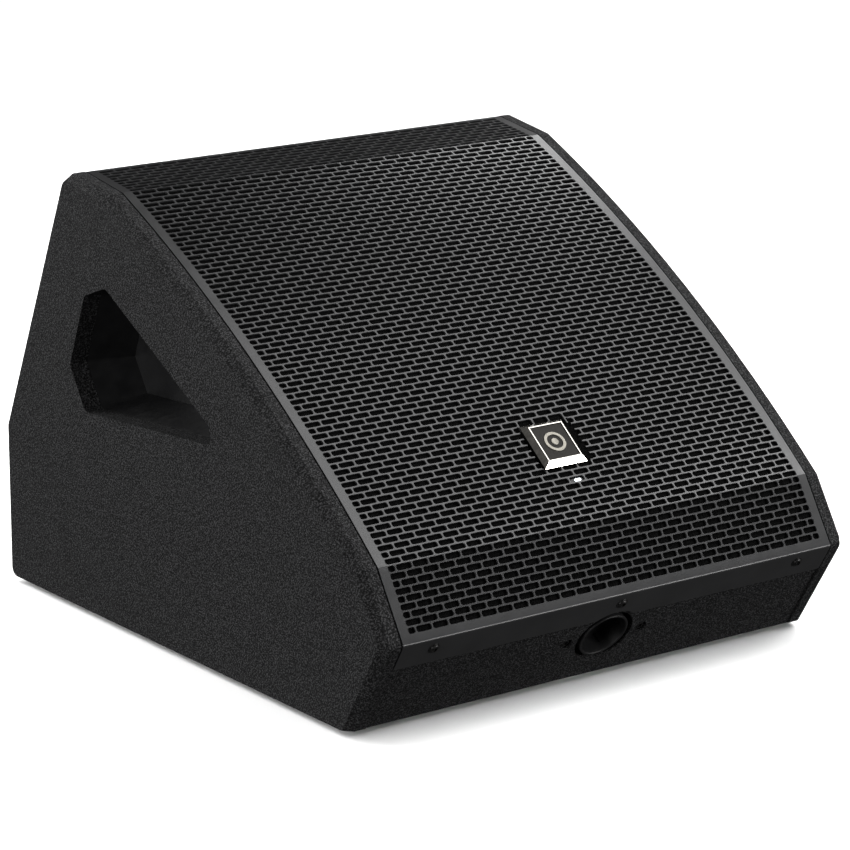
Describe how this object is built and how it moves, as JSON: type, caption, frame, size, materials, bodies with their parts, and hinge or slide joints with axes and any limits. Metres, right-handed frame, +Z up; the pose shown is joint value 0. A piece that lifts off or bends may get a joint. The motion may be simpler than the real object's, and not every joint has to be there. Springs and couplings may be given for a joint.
{
  "type": "stage monitor wedge",
  "caption": "Low sloping stage monitor cabinet with a bowed perforated grille, side hand holds, a front pole cup and an amplifier panel at the back.",
  "frame": {"origin": "on the floor under the middle of the object's box, at the underside of its rubber feet", "axes": "+Z up, -Y towards the listener's side with the nose and the sloping grille, +X across to the right as seen from the front"},
  "size_m": [0.42, 0.5302, 0.3494],
  "materials": {
    "cabinet_paint": "speckled textured black paint on board",
    "baffle_paint": "matte black paint on board",
    "grille_coat": "satin black powder coat",
    "foam": "open-cell black foam",
    "badge": "polished bevelled plate",
    "light": "clear light pipe",
    "moulded_black": "moulded black plastic",
    "knob_black": "soft black knob plastic",
    "latch_grey": "grey plastic",
    "rubber": "matte black rubber",
    "screw_black": "black oxide steel",
    "cast_frame": "black cast frame",
    "zinc_steel": "zinc plated steel",
    "ferrite": "dark grey ferrite",
    "cone": "pressed black paper",
    "spider": "impregnated cloth",
    "copper": "enamelled copper wire",
    "anodised": "black anodised aluminium",
    "display": "dark display window",
    "circuit": "green circuit board",
    "cable": "grey cable sleeve"
  },
  "bodies": {
    "cabinet": {"amp_plate": "anodised", "back_plate": "zinc_steel", "badge_plate": "badge", "baffle_board": "baffle_paint", "bottom_panel": "cabinet_paint", "combo_socket_1": "moulded_black", "combo_socket_2": "moulded_black", "cup_screw_1": "screw_black", "cup_screw_2": "screw_black", "display_window": "display", "foot_1": "rubber", "foot_2": "rubber", "foot_3": "rubber", "foot_4": "rubber", "front_lower_panel": "cabinet_paint", "grille": "grille_coat", "grille_foam": "foam", "grille_screw_1": "screw_black", "grille_screw_2": "screw_black", "grille_screw_3": "screw_black", "handle_cup_left": "moulded_black", "handle_cup_right": "moulded_black", "heat_sink": "anodised", "hf_driver": "ferrite", "hf_horn": "moulded_black", "input_board": "circuit", "light_pipe": "light", "link_socket": "moulded_black", "lower_rail": "cabinet_paint", "magnet": "ferrite", "mains_inlet": "moulded_black", "pole_cup": "moulded_black", "port_tube_left": "moulded_black", "port_tube_right": "moulded_black", "power_board": "circuit", "rear_lower_panel": "cabinet_paint", "rear_upper_panel": "cabinet_paint", "rocker_frame": "moulded_black", "side_panel_left": "cabinet_paint", "side_panel_right": "cabinet_paint", "speaker_cable": "cable", "spider": "spider", "surround": "rubber", "top_panel": "cabinet_paint", "top_plate": "zinc_steel", "transformer": "copper", "woofer_basket": "cast_frame", "woofer_screw_1": "screw_black", "woofer_screw_2": "screw_black", "woofer_screw_3": "screw_black", "woofer_screw_4": "screw_black"},
    "cone": {"woofer_cone": "cone", "voice_coil": "copper"},
    "combo_latch_1": {"combo_latch_1": "latch_grey"},
    "combo_latch_2": {"combo_latch_2": "latch_grey"},
    "gain_knob_1": {"gain_knob_1": "knob_black"},
    "gain_knob_2": {"gain_knob_2": "knob_black"},
    "menu_shaft": {"menu_shaft": "zinc_steel"},
    "menu_knob": {"menu_knob": "knob_black"},
    "power_rocker": {"power_rocker": "moulded_black"}
  },
  "joints": [
    {"name": "cone_stroke", "type": "slide", "parent": "cabinet", "child": "cone", "axis": [0, -0.5455, 0.8381], "range_m": [-0.005, 0.005], "stiffness_N_per_m": 4000, "deforming": ["surround", "spider"]},
    {"name": "combo_latch_1_press", "type": "slide", "parent": "cabinet", "child": "combo_latch_1", "axis": [0, -0.894, -0.448], "range_m": [0, 0.001], "stiffness_N_per_m": 400},
    {"name": "combo_latch_2_press", "type": "slide", "parent": "cabinet", "child": "combo_latch_2", "axis": [0, -0.894, -0.448], "range_m": [0, 0.001], "stiffness_N_per_m": 400},
    {"name": "gain_knob_1_turn", "type": "hinge", "parent": "cabinet", "child": "gain_knob_1", "pos_m": [0.112, 0.20384, 0.23112], "axis": [0, 0.894, 0.448], "range_deg": [-150, 150]},
    {"name": "gain_knob_2_turn", "type": "hinge", "parent": "cabinet", "child": "gain_knob_2", "pos_m": [0.076, 0.20384, 0.23112], "axis": [0, 0.894, 0.448], "range_deg": [-150, 150]},
    {"name": "menu_push", "type": "slide", "parent": "cabinet", "child": "menu_shaft", "axis": [0, -0.894, -0.448], "range_m": [0, 0.0008], "stiffness_N_per_m": 1500},
    {"name": "menu_turn", "type": "hinge", "parent": "menu_shaft", "child": "menu_knob", "pos_m": [0.03, 0.1737, 0.29125], "axis": [0, 0.894, 0.448], "continuous": true},
    {"name": "power_rock", "type": "hinge", "parent": "cabinet", "child": "power_rocker", "pos_m": [-0.008, 0.21291, 0.21189], "axis": [1, 0, 0], "range_deg": [0, 24]}
  ]
}
